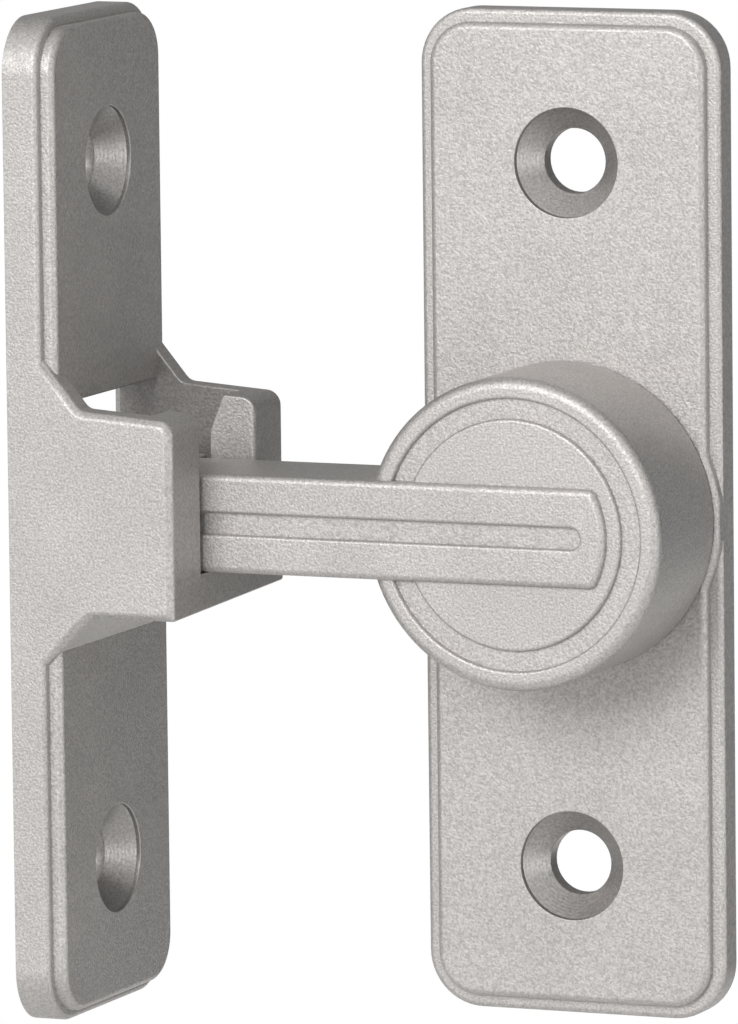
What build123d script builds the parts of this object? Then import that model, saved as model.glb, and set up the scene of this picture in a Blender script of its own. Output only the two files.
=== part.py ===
from build123d import *
import math
import os

# Right-angle flip latch for a sliding door, in millimetres.
# X runs along the closed bar, Y into the door and Z up.
# The origin is on the knob's axis, at the plate's back.
# Distances named "out" are measured from the plate's back towards the viewer, along -Y.

# Plates
plate_height = 90.0
plate_corner = 5.0
hole_spacing = 63.0
hole_diameter = 5.8
sink_diameter = 9.8
sink_angle = 82.0
ledge_chamfer = 0.3
step_chamfer = 0.4

# Base plate
plate_width = 28.5
plate_base = 2.8
plate_step = 1.0
plate_ledge = 1.2
bulge_rim = 0.45
bulge_blend = 2.0

# Knob
knob_diameter = 27.8
knob_height = 13.8
knob_gap = 0.15
knob_round = 1.0
ring_rim = 1.85
ring_width = 1.75
ring_depth = 0.5

# Bar
bar_height = 8.8
bar_depth = 11.2
bar_proud = 0.7
bar_round = 0.6
bar_end_gap = 1.25
bar_end_round = 0.8
groove_width = 1.9
groove_depth = 0.6
groove_gap = 2.35
head_length = 5.0
head_chamfer = 0.5

# Keeper
jamb_distance = 44.8
keeper_base = 3.3
keeper_step = 1.2
keeper_ledge = 0.9
cradle_reach = 15.75
cradle_chamfer = 0.55
cheek_thick = 2.7
cheek_top = 9.8
cheek_fall = 4.5
cheek_corner = 1.4
gusset_run = 3.6
gusset_angle = 50.5
gusset_blend = 1.2
brace_run = 4.4
floor_thick = 3.5
floor_rise = 0.65
nub_length = 4.4
nub_round = 0.4
lead_height = 6.7
lead_angle = 21.0
window_top = 10.8
window_chamfer = 0.8

# Spindle and what holds it
spindle_diameter = 10.0
washer_diameter = 16.0
washer_thick = 1.3
spring_diameter = 15.2
spring_thick = 0.3
spring_height = 0.55
screw_diameter = 3.0
screw_head = 5.2
screw_length = 8.0
cross_length = 3.0
cross_width = 0.7
cross_depth = 0.9

# Clearances
running_clearance = 0.05
thread_clearance = 0.05
spring_clearance = 0.05
washer_clearance = 0.6
back_clearance = 0.3
bar_clearance = 0.5
rest_clearance = 0.1
head_play = 0.95
head_clearance = 0.5

# Places that follow from the sizes
plate_thick = plate_base + plate_step
knob_radius = knob_diameter / 2
ring_outer = knob_radius - ring_rim
ring_inner = ring_outer - ring_width
bar_end_radius = ring_inner - bar_end_gap
groove_end = bar_end_radius - groove_gap
knob_face = plate_thick + knob_height
bar_front = knob_face + bar_proud
bar_back = bar_front - bar_depth
bar_middle = (bar_front + bar_back) / 2
bar_top = bar_height / 2
keeper_depth = 2 * bar_middle
keeper_back = -jamb_distance
keeper_thick = keeper_base + keeper_step
cradle_end = keeper_back + cradle_reach
nub_gap = bar_depth + 2 * bar_clearance
nub_inner = cradle_end - nub_length
head_inner = nub_inner - head_play
bar_reach = head_length - head_inner
head_half = bar_middle - plate_thick - head_clearance
floor_top = -bar_top - rest_clearance
floor_bottom = floor_top - floor_thick
spindle_end = back_clearance + washer_thick
recess_depth = spindle_end + spring_height + spring_clearance
recess_radius = washer_diameter / 2 + washer_clearance
spindle_radius = spindle_diameter / 2
screw_radius = screw_diameter / 2
head_cone = screw_head / 2 - screw_radius

os.makedirs("parts", exist_ok=True)


def lying_on(out):
    """Plane parallel to the door, a distance out from the plate's back, facing the viewer."""
    return Plane.XZ.offset(out)


# Base plate: a flat layer with a raised face, which swells round the knob as far as the sides
with BuildPart() as base_plate:
    with BuildSketch(lying_on(0)):
        RectangleRounded(plate_width, plate_height, plate_corner)
    extrude(amount=plate_base)
    chamfer(base_plate.faces().sort_by(Axis.Y)[0].edges(), ledge_chamfer)
    with BuildPart() as raised_face:
        with BuildSketch(lying_on(plate_base - ledge_chamfer)):
            RectangleRounded(
                plate_width - 2 * plate_ledge,
                plate_height - 2 * plate_ledge,
                plate_corner - plate_ledge,
            )
            Circle(knob_radius + bulge_rim)
            offset(amount=bulge_blend)
            offset(amount=-bulge_blend)
        extrude(amount=plate_step + ledge_chamfer)
        chamfer(raised_face.faces().sort_by(Axis.Y)[0].edges(), step_chamfer)
        with BuildSketch(lying_on(0)):
            RectangleRounded(plate_width, plate_height, plate_corner)
        extrude(amount=plate_thick, mode=Mode.INTERSECT)
    with Locations(lying_on(plate_thick)):
        with GridLocations(0, hole_spacing, 1, 2):
            CounterSinkHole(hole_diameter / 2, sink_diameter / 2, counter_sink_angle=sink_angle)
        Hole(spindle_radius + running_clearance)
    with BuildSketch(lying_on(0)):
        Circle(recess_radius)
    extrude(amount=recess_depth, mode=Mode.SUBTRACT)

# Knob, bar, cross head and spindle: one casting
with BuildPart() as latch_knob:
    end_corner = math.sqrt(bar_end_radius**2 - bar_top**2)
    far_corner = math.sqrt(bar_reach**2 - bar_top**2)
    rim_fall = knob_round * (1 - math.sqrt(0.5))
    with BuildSketch(lying_on(bar_back)) as bar_outline:
        with BuildLine():
            Line((-far_corner, bar_top), (end_corner, bar_top))
            ThreePointArc((end_corner, bar_top), (bar_end_radius, 0), (end_corner, -bar_top))
            Line((end_corner, -bar_top), (-far_corner, -bar_top))
            ThreePointArc((-far_corner, -bar_top), (-bar_reach, 0), (-far_corner, bar_top))
        make_face()
        fillet(bar_outline.vertices().filter_by(lambda v: v.X > 0), bar_end_round)
    extrude(amount=bar_depth)
    fillet(latch_knob.faces().sort_by(Axis.Y)[0].edges(), bar_round)
    fillet(latch_knob.faces().sort_by(Axis.Y)[-1].edges().filter_by(Axis.X), bar_round)
    with BuildSketch(lying_on(bar_middle)):
        with BuildLine():
            Line((-far_corner, bar_top), (head_inner, bar_top))
            Line((head_inner, bar_top), (head_inner, -bar_top))
            Line((head_inner, -bar_top), (-far_corner, -bar_top))
            ThreePointArc((-far_corner, -bar_top), (-bar_reach, 0), (-far_corner, bar_top))
        make_face()
    extrude(amount=head_half, both=True)
    chamfer(latch_knob.faces().sort_by(Axis.Y)[0].edges(), head_chamfer)
    chamfer(latch_knob.faces().sort_by(Axis.Y)[-1].edges(), head_chamfer)
    with BuildSketch(Plane.XY):
        with BuildLine():
            Polyline(
                (0, -spindle_end),
                (spindle_radius, -spindle_end),
                (spindle_radius, -plate_thick - knob_gap),
                (knob_radius, -plate_thick - knob_gap),
                (knob_radius, -knob_face + knob_round),
                (knob_radius - rim_fall, -knob_face + rim_fall),
                (knob_radius - knob_round, -knob_face),
                (ring_outer, -knob_face),
                (ring_outer, -knob_face + ring_depth),
                (ring_inner, -knob_face + ring_depth),
                (ring_inner, -knob_face),
                (0, -knob_face),
                close=True,
            )
        make_face()
    revolve(axis=Axis.Y)
    with BuildSketch(lying_on(bar_front)):
        groove_start = head_inner + groove_width
        with Locations(((groove_end + groove_start) / 2, 0)):
            SlotOverall(groove_end - groove_start, groove_width)
    extrude(amount=-groove_depth, mode=Mode.SUBTRACT)
    with BuildSketch(lying_on(spindle_end)):
        Circle(screw_radius + thread_clearance)
    extrude(amount=screw_length - washer_thick + screw_radius, mode=Mode.SUBTRACT)

# Keeper plate: the flat layer and raised face on the jamb
with BuildPart() as keeper_plate:
    with BuildSketch(Plane.YZ.offset(keeper_back)):
        with Locations((-bar_middle, 0)):
            RectangleRounded(keeper_depth, plate_height, plate_corner)
    extrude(amount=keeper_base)
    chamfer(keeper_plate.faces().sort_by(Axis.X)[-1].edges(), ledge_chamfer)
    with BuildSketch(Plane.YZ.offset(keeper_back + keeper_base - ledge_chamfer)):
        with Locations((-bar_middle, 0)):
            RectangleRounded(
                keeper_depth - 2 * keeper_ledge,
                plate_height - 2 * keeper_ledge,
                plate_corner - keeper_ledge,
            )
    extrude(amount=keeper_step + ledge_chamfer)
    chamfer(keeper_plate.faces().sort_by(Axis.X)[-1].edges(), step_chamfer)

# Keeper cradle: the side profile with its gussets, hollowed between the cheeks and the nubs
with BuildPart() as keeper_cradle:
    root = keeper_back + keeper_base / 2
    ledge_level = keeper_back + keeper_base
    gusset_foot = ledge_level + gusset_run
    brace_foot = ledge_level + brace_run
    gusset_rise = math.tan(math.radians(gusset_angle))
    cheek_rise = math.tan(math.radians(cheek_fall))
    cheek_start = cheek_top + cheek_rise * (cradle_end - gusset_foot)
    for out, underside in ((0, floor_bottom + floor_rise), (keeper_depth, floor_bottom)):
        brace_corner = brace_foot + underside - floor_bottom
        with BuildSketch(lying_on(out)) as side_profile:
            with BuildLine():
                Polyline(
                    (root, cheek_start + gusset_rise * (gusset_foot - root)),
                    (gusset_foot, cheek_start),
                    (cradle_end, cheek_top),
                    (cradle_end, underside),
                    (brace_corner, underside),
                    (root, floor_bottom - (brace_foot - root)),
                    close=True,
                )
            make_face()
            fillet(side_profile.vertices().sort_by_distance((cradle_end, cheek_top, 0))[0], cheek_corner)
            fillet(side_profile.vertices().sort_by_distance((gusset_foot, cheek_start, 0))[0], gusset_blend)
            fillet(side_profile.vertices().sort_by_distance((brace_corner, underside, 0))[0], gusset_blend)
    loft(ruled=True)
    outline_edges = keeper_cradle.faces().filter_by(Axis.Y).edges()
    chamfer(outline_edges.sort_by(Axis.X)[2:], cradle_chamfer)
    lead = math.tan(math.radians(lead_angle))
    above = 2 * cheek_start + plate_height / 2
    with BuildSketch(lying_on(cheek_thick)):
        with BuildLine():
            Polyline(
                (root - keeper_base, floor_top),
                (nub_inner, floor_top),
                (nub_inner, lead_height),
                (nub_inner + lead * (cheek_start - lead_height), cheek_start),
                (nub_inner + lead * (cheek_start - lead_height), above),
                (root - keeper_base, above),
                close=True,
            )
        make_face()
    extrude(amount=keeper_depth - 2 * cheek_thick, mode=Mode.SUBTRACT)
    mouth_side = nub_gap / 2
    mouth_flare = mouth_side + 2 * nub_round
    beyond = cradle_end + 2 * nub_round
    with BuildSketch(Plane.XY.offset(floor_top)) as mouth_outline:
        with BuildLine():
            Polyline(
                (head_inner, mouth_side - bar_middle),
                (cradle_end, mouth_side - bar_middle),
                (cradle_end, mouth_flare - bar_middle),
                (beyond, mouth_flare - bar_middle),
                (beyond, -mouth_flare - bar_middle),
                (cradle_end, -mouth_flare - bar_middle),
                (cradle_end, -mouth_side - bar_middle),
                (head_inner, -mouth_side - bar_middle),
                close=True,
            )
        make_face()
        mouth_corners = mouth_outline.vertices().group_by(Axis.X)[1]
        fillet(mouth_corners.sort_by(lambda v: abs(v.Y + bar_middle))[:2], nub_round)
    extrude(amount=above, mode=Mode.SUBTRACT)

# Keeper: plate and cradle in one casting, with the window and the screw holes
with BuildPart() as keeper:
    add(keeper_plate.part)
    add(keeper_cradle.part)
    keeper_face = Plane.YZ.offset(keeper_back + keeper_thick)
    with BuildSketch(keeper_face):
        with Locations((-bar_middle, (window_top + floor_top) / 2)):
            Rectangle(keeper_depth - 2 * cheek_thick, window_top - floor_top)
    extrude(amount=-keeper_thick, mode=Mode.SUBTRACT)
    jamb_side = keeper.faces().sort_by(Axis.X)[0]
    window_edges = jamb_side.inner_wires().sort_by(SortBy.LENGTH)[-1].edges()
    chamfer(window_edges, window_chamfer)
    with Locations(keeper_face):
        with Locations((-bar_middle, 0)):
            with GridLocations(0, hole_spacing, 1, 2):
                CounterSinkHole(hole_diameter / 2, sink_diameter / 2, counter_sink_angle=sink_angle)

# Disc spring: dished, its inner edge on the washer and its outer edge against the plate
with BuildPart() as disc_spring:
    spring_bore = spindle_radius + running_clearance
    spring_rim = spring_diameter / 2
    with BuildSketch(Plane.XY):
        with BuildLine():
            Polyline(
                (spring_bore, -spindle_end),
                (spring_bore, -spindle_end - spring_thick),
                (spring_rim, -spindle_end - spring_height),
                (spring_rim, -spindle_end - spring_height + spring_thick),
                close=True,
            )
        make_face()
    revolve(axis=Axis.Y)

# Retaining washer: thick, countersunk for the screw
with BuildPart() as retaining_washer:
    with BuildSketch(lying_on(back_clearance)):
        Circle(washer_diameter / 2)
    extrude(amount=washer_thick)
    with BuildSketch(Plane.XY):
        with BuildLine():
            Polyline(
                (0, -back_clearance),
                (screw_head / 2 + thread_clearance, -back_clearance),
                (screw_radius + thread_clearance, -back_clearance - head_cone),
                (screw_radius + thread_clearance, -spindle_end),
                (0, -spindle_end),
                close=True,
            )
        make_face()
    revolve(axis=Axis.Y, mode=Mode.SUBTRACT)

# Retaining screw: countersunk head with a cross recess
with BuildPart() as retaining_screw:
    with BuildSketch(Plane.XY):
        with BuildLine():
            Polyline(
                (0, -back_clearance),
                (screw_head / 2, -back_clearance),
                (screw_radius, -back_clearance - head_cone),
                (screw_radius, -back_clearance - screw_length),
                (0, -back_clearance - screw_length),
                close=True,
            )
        make_face()
    revolve(axis=Axis.Y)
    with BuildSketch(lying_on(back_clearance)):
        Rectangle(cross_length, cross_width)
        Rectangle(cross_width, cross_length)
    extrude(amount=cross_depth, mode=Mode.SUBTRACT)

base_plate.part.label = "base_plate"
export_step(base_plate.part, "parts/base_plate.step")
latch_knob.part.label = "latch_knob"
export_step(latch_knob.part, "parts/latch_knob.step")
keeper.part.label = "keeper"
export_step(keeper.part, "parts/keeper.step")
disc_spring.part.label = "disc_spring"
export_step(disc_spring.part, "parts/disc_spring.step")
retaining_washer.part.label = "retaining_washer"
export_step(retaining_washer.part, "parts/retaining_washer.step")
retaining_screw.part.label = "retaining_screw"
export_step(retaining_screw.part, "parts/retaining_screw.step")
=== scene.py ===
import math

import bpy
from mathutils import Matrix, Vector


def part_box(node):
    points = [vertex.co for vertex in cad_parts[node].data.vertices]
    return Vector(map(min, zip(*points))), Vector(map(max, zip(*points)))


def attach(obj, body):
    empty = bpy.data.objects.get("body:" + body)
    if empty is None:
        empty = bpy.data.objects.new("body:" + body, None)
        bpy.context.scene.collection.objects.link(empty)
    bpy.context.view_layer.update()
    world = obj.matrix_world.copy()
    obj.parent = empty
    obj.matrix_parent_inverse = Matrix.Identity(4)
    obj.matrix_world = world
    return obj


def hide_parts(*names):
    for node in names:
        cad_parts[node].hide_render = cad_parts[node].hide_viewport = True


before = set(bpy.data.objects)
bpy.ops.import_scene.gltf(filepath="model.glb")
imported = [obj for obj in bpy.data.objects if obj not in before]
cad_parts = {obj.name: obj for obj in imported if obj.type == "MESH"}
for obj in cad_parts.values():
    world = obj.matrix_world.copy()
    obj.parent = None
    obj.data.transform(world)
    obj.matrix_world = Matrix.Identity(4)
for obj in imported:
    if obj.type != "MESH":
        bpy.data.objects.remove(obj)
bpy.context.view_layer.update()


# Base plate: a zinc die casting that screws to the face of the door, with a raised face that
# swells round the knob. It is barrel-finished, which takes the corners off every edge, and then
# sprayed with a fine-grained satin nickel-grey coat.
merge_distance = 2e-6
flat_angle = math.radians(0.6)
corner_angle = math.radians(24)
smooth_angle = math.radians(35)


def whole_faces(node, name):
    """A copy of a solid as its own piece, with its triangles joined into whole faces."""
    bpy.ops.object.select_all(action="DESELECT")
    piece = bpy.data.objects.new(name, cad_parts[node].data.copy())
    bpy.context.scene.collection.objects.link(piece)
    piece.data.materials.clear()
    bpy.context.view_layer.objects.active = piece
    piece.select_set(True)
    bpy.ops.object.mode_set(mode="EDIT")
    bpy.ops.mesh.customdata_custom_splitnormals_clear()
    bpy.ops.mesh.select_all(action="SELECT")
    bpy.ops.mesh.remove_doubles(threshold=merge_distance)
    bpy.ops.mesh.dissolve_limited(angle_limit=flat_angle)
    bpy.ops.object.mode_set(mode="OBJECT")
    return piece


def outer_corners(mesh):
    """The edges where two faces meet in an outward corner that a hand would feel."""
    sides = {}
    for face in mesh.polygons:
        ring = list(face.vertices)
        for start, end in zip(ring, ring[1:] + ring[:1]):
            along = mesh.vertices[end].co - mesh.vertices[start].co
            inward = face.normal.cross(along)
            key = (min(start, end), max(start, end))
            sides.setdefault(key, []).append((face.normal.copy(), inward))
    for edge in mesh.edges:
        pair = sides.get(edge.key, [])
        if len(pair) != 2:
            continue
        (normal, _), (other_normal, other_inward) = pair
        if normal.angle(other_normal) >= corner_angle and normal.dot(other_inward) <= 0:
            yield edge


def round_edges(piece, width, share_at):
    """Rounds the outer edges of a casting, and less where a shallow form leaves no room."""
    mesh = piece.data
    weight = mesh.attributes.new("bevel_weight_edge", "FLOAT", "EDGE")
    for edge in outer_corners(mesh):
        start, end = (mesh.vertices[v].co for v in edge.vertices)
        weight.data[edge.index].value = share_at((start + end) / 2)
    rounding = piece.modifiers.new("rounding", "BEVEL")
    rounding.limit_method = "WEIGHT"
    rounding.width = width
    rounding.segments = 3
    rounding.use_clamp_overlap = False
    bpy.ops.object.modifier_apply(modifier=rounding.name)
    bpy.ops.object.mode_set(mode="EDIT")
    bpy.ops.mesh.select_all(action="SELECT")
    bpy.ops.mesh.remove_doubles(threshold=merge_distance)
    bpy.ops.mesh.dissolve_degenerate(threshold=merge_distance)
    bpy.ops.object.mode_set(mode="OBJECT")
    bpy.ops.object.shade_smooth_by_angle(angle=smooth_angle)
    flats = piece.modifiers.new("flats", "WEIGHTED_NORMAL")
    flats.keep_sharp = True
    flats.weight = 90
    bpy.ops.object.modifier_apply(modifier=flats.name)


def new_finish(name, metallic):
    """A new material, its node tree and shader, and the Object coordinates that its grain follows."""
    finish = bpy.data.materials.new(name)
    finish.use_nodes = True
    tree = finish.node_tree
    shader = tree.nodes["Principled BSDF"]
    shader.inputs["Metallic"].default_value = metallic
    return finish, tree, shader, tree.nodes.new("ShaderNodeTexCoord").outputs["Object"]


def grain(tree, place, scale, detail=2.0, roughness=0.5):
    """Cloudy noise, with so many cells to the metre."""
    noise = tree.nodes.new("ShaderNodeTexNoise")
    noise.inputs["Scale"].default_value = scale
    noise.inputs["Detail"].default_value = detail
    noise.inputs["Roughness"].default_value = roughness
    tree.links.new(place, noise.inputs["Vector"])
    return noise.outputs["Fac"]


def two_tone(tree, value, dark_at, dark, light_at, light):
    """A colour that goes from dark to light with a value."""
    ramp = tree.nodes.new("ShaderNodeValToRGB")
    darker, lighter = ramp.color_ramp.elements
    darker.position, lighter.position = dark_at, light_at
    darker.color, lighter.color = (*dark, 1), (*light, 1)
    tree.links.new(value, ramp.inputs["Fac"])
    return ramp


def uneven_gloss(tree, shader, value, smooth, rough):
    """Roughness that goes from smooth to rough with a value."""
    gloss = tree.nodes.new("ShaderNodeMapRange")
    gloss.inputs["To Min"].default_value = smooth
    gloss.inputs["To Max"].default_value = rough
    tree.links.new(value, gloss.inputs["Value"])
    tree.links.new(gloss.outputs["Result"], shader.inputs["Roughness"])


def fine_relief(tree, shader, value, strength, height):
    """Bumps, in metres, that rise with a value."""
    bumps = tree.nodes.new("ShaderNodeBump")
    bumps.inputs["Strength"].default_value = strength
    bumps.inputs["Distance"].default_value = height
    tree.links.new(value, bumps.inputs["Height"])
    tree.links.new(bumps.outputs["Normal"], shader.inputs["Normal"])


satin_coat, tree, coat, place = new_finish("satin_coat", metallic=0.7)
coat.inputs["IOR"].default_value = 1.45
pebbles = grain(tree, place, scale=4600.0, roughness=0.55)
mottle = grain(tree, place, scale=130.0, detail=3.0)
tone = two_tone(
    tree, pebbles, dark_at=0.30, dark=(0.355, 0.340, 0.327), light_at=0.70, light=(0.545, 0.524, 0.508)
)
drift = two_tone(tree, mottle, dark_at=0.35, dark=(0.94, 0.94, 0.94), light_at=0.65, light=(1, 1, 1))
colour = tree.nodes.new("ShaderNodeMix")
colour.data_type = "RGBA"
colour.blend_type = "MULTIPLY"
colour.inputs["Factor"].default_value = 1.0
tree.links.new(tone.outputs["Color"], colour.inputs["A"])
tree.links.new(drift.outputs["Color"], colour.inputs["B"])
tree.links.new(colour.outputs["Result"], coat.inputs["Base Color"])
flakes = tree.nodes.new("ShaderNodeTexVoronoi")
flakes.inputs["Scale"].default_value = 5000.0
tree.links.new(place, flakes.inputs["Vector"])
flake_shade = tree.nodes.new("ShaderNodeSeparateColor")
tree.links.new(flakes.outputs["Color"], flake_shade.inputs["Color"])
uneven_gloss(tree, coat, flake_shade.outputs["Red"], smooth=0.44, rough=0.60)
fine_relief(tree, coat, pebbles, strength=0.8, height=0.00006)

screw_hole_height = 0.0315
sink_radius = 0.0049
rim_slack = 0.00003
cone_slant, wall_slant = 0.3, 0.95


def countersink_coat(name, level_axis, level):
    """A darker, glossier coat in a countersink, over the rings that the cutter left."""
    cut, tree, skin, place = new_finish(name, metallic=0.8)

    def minus(value, amount):
        less = tree.nodes.new("ShaderNodeMath")
        less.operation = "SUBTRACT"
        less.inputs[1].default_value = amount
        tree.links.new(value, less.inputs[0])
        return less.outputs["Value"]

    axes = tree.nodes.new("ShaderNodeSeparateXYZ")
    tree.links.new(place, axes.inputs["Vector"])
    upright = tree.nodes.new("ShaderNodeMath")
    upright.operation = "ABSOLUTE"
    tree.links.new(axes.outputs["Z"], upright.inputs[0])
    across = tree.nodes.new("ShaderNodeCombineXYZ")
    tree.links.new(minus(axes.outputs[level_axis], level), across.inputs["X"])
    tree.links.new(minus(upright.outputs["Value"], screw_hole_height), across.inputs["Y"])
    rings = tree.nodes.new("ShaderNodeTexWave")
    rings.wave_type = "RINGS"
    rings.rings_direction = "SPHERICAL"
    rings.inputs["Scale"].default_value = 1300.0
    rings.inputs["Distortion"].default_value = 5.0
    rings.inputs["Detail"].default_value = 2.0
    rings.inputs["Detail Scale"].default_value = 1.5
    tree.links.new(across.outputs["Vector"], rings.inputs["Vector"])
    speckle = grain(tree, place, scale=4400.0)
    shade = two_tone(
        tree, speckle, dark_at=0.30, dark=(0.27, 0.258, 0.249), light_at=0.70, light=(0.40, 0.384, 0.371)
    )
    tree.links.new(shade.outputs["Color"], skin.inputs["Base Color"])
    uneven_gloss(tree, skin, rings.outputs["Fac"], smooth=0.38, rough=0.48)
    fine_relief(tree, skin, rings.outputs["Fac"], strength=0.12, height=0.00004)
    return cut


def pick(piece, kind, is_picked):
    """Opens a piece for editing with only some of its edges or faces selected."""
    bpy.ops.object.mode_set(mode="EDIT")
    bpy.ops.mesh.select_mode(type=kind)
    bpy.ops.mesh.select_all(action="DESELECT")
    bpy.ops.object.mode_set(mode="OBJECT")
    for item in piece.data.edges if kind == "EDGE" else piece.data.polygons:
        item.select = is_picked(item)
    bpy.ops.object.mode_set(mode="EDIT")


def sink_screw_heads(piece, across_hole, way, rim_depth, deeper):
    """Starts a plate's two countersinks below the straight rims that the cutter left."""

    def at(vertex):
        return piece.data.vertices[vertex].co

    for side in (1, -1):

        def on_rim(edge):
            ends = [at(vertex) for vertex in edge.vertices]
            return all(end.z * side > 0 and abs(across_hole(end) - sink_radius) < rim_slack for end in ends)

        def on_cone(face):
            in_hole = face.center.z * side > 0 and across_hole(face.center) < sink_radius
            return in_hole and cone_slant < abs(face.normal.dot(way)) < wall_slant

        pick(piece, "EDGE", on_rim)
        bpy.ops.mesh.edge_split(type="EDGE")
        bpy.ops.object.mode_set(mode="OBJECT")
        corners = {vertex for face in piece.data.polygons if on_cone(face) for vertex in face.vertices}
        depths = [at(vertex).dot(way) for vertex in corners]
        kept_share = 1 - (rim_depth - deeper) / (max(depths) - min(depths))
        pick(piece, "FACE", on_cone)
        bpy.ops.transform.resize(
            value=[kept_share if along else 1 for along in way], center_override=way * max(depths)
        )
        bpy.ops.transform.translate(value=way * deeper)
        bpy.ops.mesh.select_mode(type="EDGE")
        bpy.ops.mesh.select_all(action="DESELECT")
        bpy.ops.mesh.select_non_manifold()
        bpy.ops.mesh.bridge_edge_loops()
        bpy.ops.mesh.select_all(action="SELECT")
        bpy.ops.mesh.normals_make_consistent(inside=False)
        bpy.ops.object.mode_set(mode="OBJECT")


def coat_countersinks(piece, material, across_hole, way):
    """Gives the walls of a plate's two screw holes their own coat."""
    piece.data.materials.append(material)
    for face in piece.data.polygons:
        if across_hole(face.center) < sink_radius and abs(face.normal.dot(way)) < wall_slant:
            face.material_index = 1


hole_reach, rim_reach = 0.0040, 0.0052
faint_share, rim_share = 0.3, 0.5
door_back_reach = 0.0001


def plate_share(from_hole, at_back):
    """Share of the rounding that a plate's edge gets: little at the back and down the screw holes."""
    if at_back or from_hole < hole_reach:
        return faint_share
    return rim_share if from_hole < rim_reach else 1.0


def across_door_hole(at):
    """Distance from the middle of the nearer screw hole in the door plate."""
    return math.hypot(at.x, abs(at.z) - screw_hole_height)


def door_plate_share(middle):
    """Share of the rounding that an edge of the door plate gets."""
    return plate_share(across_door_hole(middle), at_back=middle.y > -door_back_reach)


base_plate = whole_faces("base_plate", "door_plate")
into_door = Vector((0, 1, 0))
sink_screw_heads(base_plate, across_door_hole, into_door, rim_depth=0.0006, deeper=0.0)
round_edges(base_plate, width=0.0002, share_at=door_plate_share)
base_plate.data.materials.append(satin_coat)
door_sink_coat = countersink_coat("door_plate_countersink", level_axis="X", level=0.0)
coat_countersinks(base_plate, door_sink_coat, across_door_hole, into_door)
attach(base_plate, "fixed")
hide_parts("base_plate")

# Latch knob: the round knob, the bar across it, the cross head and the spindle, cast in one and
# coated like the plate. A ring and a slot are pressed a few tenths into its front.
spindle_front = -0.0030


def knob_share(middle):
    """Share of the rounding that an edge of the knob gets: little on the turned spindle behind it."""
    return faint_share if middle.y > spindle_front else 1.0


latch_knob = whole_faces("latch_knob", "knob_and_bar")
round_edges(latch_knob, width=0.0003, share_at=knob_share)
latch_knob.data.materials.append(satin_coat)
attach(latch_knob, "latch")
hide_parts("latch_knob")

# Keeper: the casting on the jamb, a stepped plate with a cradle between two cheeks. The nubs at
# the cradle's mouth hold the cross head, and the window lets it lie back into the plate. The
# cheeks' inner walls get a darker copy of the coat: painted shade for the deep well between them.
keeper = whole_faces("keeper", "jamb_keeper")
keeper_back = min(vertex.co.x for vertex in keeper.data.vertices)
keeper_back_reach = 0.0009
keeper_middle = sum(corner.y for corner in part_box("keeper")) / 2
into_jamb = Vector((-1, 0, 0))
well_half_width, well_slack = 0.0100, 0.0005
squarely = 0.9


def across_keeper_hole(at):
    """Distance from the middle of the nearer screw hole in the keeper."""
    return math.hypot(at.y - keeper_middle, abs(at.z) - screw_hole_height)


def keeper_share(middle):
    """Share of the rounding that an edge of the keeper gets."""
    return plate_share(across_keeper_hole(middle), at_back=middle.x < keeper_back + keeper_back_reach)


sink_screw_heads(keeper, across_keeper_hole, into_jamb, rim_depth=0.0004, deeper=0.0004)
round_edges(keeper, width=0.0002, share_at=keeper_share)
keeper.data.materials.append(satin_coat)
keeper_sink_coat = countersink_coat("keeper_countersink", level_axis="Y", level=keeper_middle)
coat_countersinks(keeper, keeper_sink_coat, across_keeper_hole, into_jamb)
# Painted shade: a darker copy of the satin coat on the walls facing into the well, standing in for the
# shade there.
well_painted_shade = satin_coat.copy()
well_painted_shade.name = "well_painted_shade"
well_shade_tone = well_painted_shade.node_tree.nodes[tone.name].color_ramp
well_shade_tone.elements[0].color = (0.19, 0.181, 0.174, 1)
well_shade_tone.elements[1].color = (0.28, 0.267, 0.257, 1)
keeper.data.materials.append(well_painted_shade)
for face in keeper.data.polygons:
    aside = face.center.y - keeper_middle
    faces_well = face.normal.y * aside < -squarely * abs(aside)
    if faces_well and abs(abs(aside) - well_half_width) < well_slack:
        face.material_index = 2
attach(keeper, "fixed")
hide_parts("keeper")

# Disc spring, washer and screw: bright zinc-plated steel behind the plate. The washer and screw
# hold the spindle, and the dished spring gives the knob its drag.
plated_steel, tree, steel, place = new_finish("plated_steel", metallic=1.0)
turned = grain(tree, place, scale=2600.0)
plating = two_tone(
    tree, turned, dark_at=0.30, dark=(0.46, 0.47, 0.48), light_at=0.72, light=(0.62, 0.63, 0.64)
)
tree.links.new(plating.outputs["Color"], steel.inputs["Base Color"])
uneven_gloss(tree, steel, turned, smooth=0.22, rough=0.38)
fine_relief(tree, steel, turned, strength=0.12, height=0.00003)
for name in ("disc_spring", "retaining_washer", "retaining_screw"):
    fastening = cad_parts[name]
    fastening.data.materials.clear()
    fastening.data.materials.append(plated_steel)


# Floor: a white sheet well below the lock, which is white to the camera and bounces light up.
# From below it is clear, so that the lock can be looked at from there too.
def seen_ray(tree):
    """1 for a ray that comes from the camera, off a metal or through a glass, and otherwise 0."""
    rays = tree.nodes.new("ShaderNodeLightPath")
    seen = rays.outputs["Is Camera Ray"]
    for kind in ("Is Glossy Ray", "Is Transmission Ray"):
        either = tree.nodes.new("ShaderNodeMath")
        either.operation = "MAXIMUM"
        tree.links.new(seen, either.inputs[0])
        tree.links.new(rays.outputs[kind], either.inputs[1])
        seen = either.outputs["Value"]
    return seen


def mixed(tree, share, first, second):
    """A share of the second shader over the first."""
    mix = tree.nodes.new("ShaderNodeMixShader")
    tree.links.new(share, mix.inputs["Fac"])
    tree.links.new(first, mix.inputs[1])
    tree.links.new(second, mix.inputs[2])
    return mix.outputs["Shader"]


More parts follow.
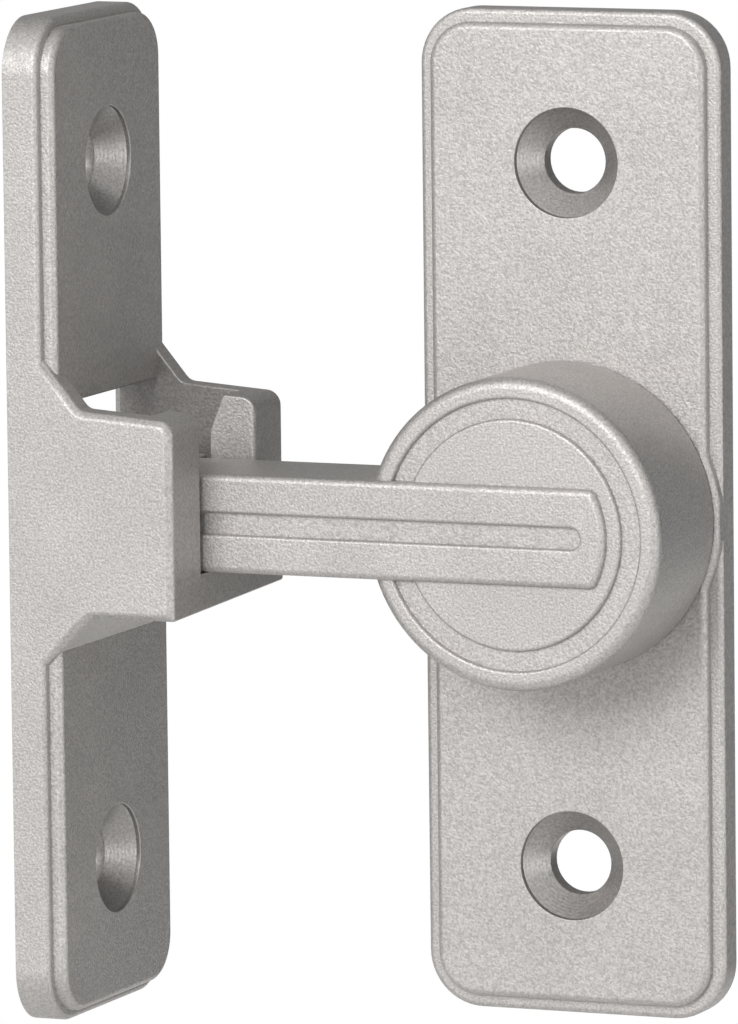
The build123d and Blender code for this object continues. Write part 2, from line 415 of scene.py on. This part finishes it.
bpy.ops.object.select_all(action="DESELECT")
bpy.ops.mesh.primitive_plane_add(size=12, location=(0, 0, -0.20))
floor = bpy.context.object
floor.name = "floor"
white_sheet = bpy.data.materials.new("white_sheet")
white_sheet.use_nodes = True
tree = white_sheet.node_tree
paper = tree.nodes["Principled BSDF"]
paper.inputs["Base Color"].default_value = (0.8, 0.8, 0.8, 1)
paper.inputs["Roughness"].default_value = 0.9
white = tree.nodes.new("ShaderNodeEmission")
sheet = mixed(tree, seen_ray(tree), paper.outputs["BSDF"], white.outputs["Emission"])
underside = tree.nodes.new("ShaderNodeNewGeometry")
clear = tree.nodes.new("ShaderNodeBsdfTransparent")
one_sided = mixed(tree, underside.outputs["Backfacing"], sheet, clear.outputs["BSDF"])
tree.links.new(one_sided, tree.nodes["Material Output"].inputs["Surface"])
floor.data.materials.append(white_sheet)

# Grey card: a large matt sheet behind the lock, out of the camera's sight, which keeps the sides
# of the castings darker than their fronts.
bpy.ops.object.select_all(action="DESELECT")
bpy.ops.mesh.primitive_plane_add(size=1, location=(0, 0.45, 0.85), rotation=(math.radians(90), 0, 0))
grey_card = bpy.context.object
grey_card.scale = (3.2, 2.1, 1)
grey_card.name = "grey_card"
grey_card.visible_camera = False
card_paint = bpy.data.materials.new("card_paint")
card_paint.use_nodes = True
matt = card_paint.node_tree.nodes["Principled BSDF"]
matt.inputs["Base Color"].default_value = (0.26, 0.26, 0.26, 1)
matt.inputs["Roughness"].default_value = 1.0
matt.inputs["Specular IOR Level"].default_value = 0.0
grey_card.data.materials.append(card_paint)

# Studio: a white surround that fills the shadows, one large soft lamp in front and above, and a
# weak one low on the right, as light thrown back by a table.
surround = bpy.data.worlds.new("surround")
bpy.context.scene.world = surround
surround.use_nodes = True
tree = surround.node_tree
fill = tree.nodes["Background"]
fill.inputs["Color"].default_value = (1, 1, 1, 1)
fill.inputs["Strength"].default_value = 0.44
backdrop = tree.nodes.new("ShaderNodeBackground")
backdrop.inputs["Color"].default_value = (1, 1, 1, 1)
around = mixed(tree, seen_ray(tree), fill.outputs["Background"], backdrop.outputs["Background"])
tree.links.new(around, tree.nodes["World Output"].inputs["Surface"])


def soft_lamp(location, tilt, turn, size, energy):
    """A square lamp, tilted up from straight down and turned about the upright, in degrees."""
    aim = (math.radians(tilt), 0, math.radians(turn))
    bpy.ops.object.light_add(type="AREA", location=location, rotation=aim)
    lamp = bpy.context.object.data
    lamp.size = size
    lamp.energy = energy


soft_lamp(location=(-0.119, -1.136, 0.508), tilt=66, turn=-6, size=0.55, energy=11.0)
soft_lamp(location=(0.75, -0.35, -0.18), tilt=102.3, turn=65, size=0.5, energy=2.2)

# Camera: a long lens about 0.9 m away, to the right of the lock and a little above it, so that
# the upright edges stay almost parallel.
bpy.ops.object.camera_add(
    location=(0.33302, -0.84300, 0.11913),
    rotation=(math.radians(82.517), math.radians(0.636), math.radians(22.686)),
)
camera = bpy.context.object
camera.data.lens = 360.23
bpy.context.scene.camera = camera
bpy.context.scene.view_settings.view_transform = "Standard"
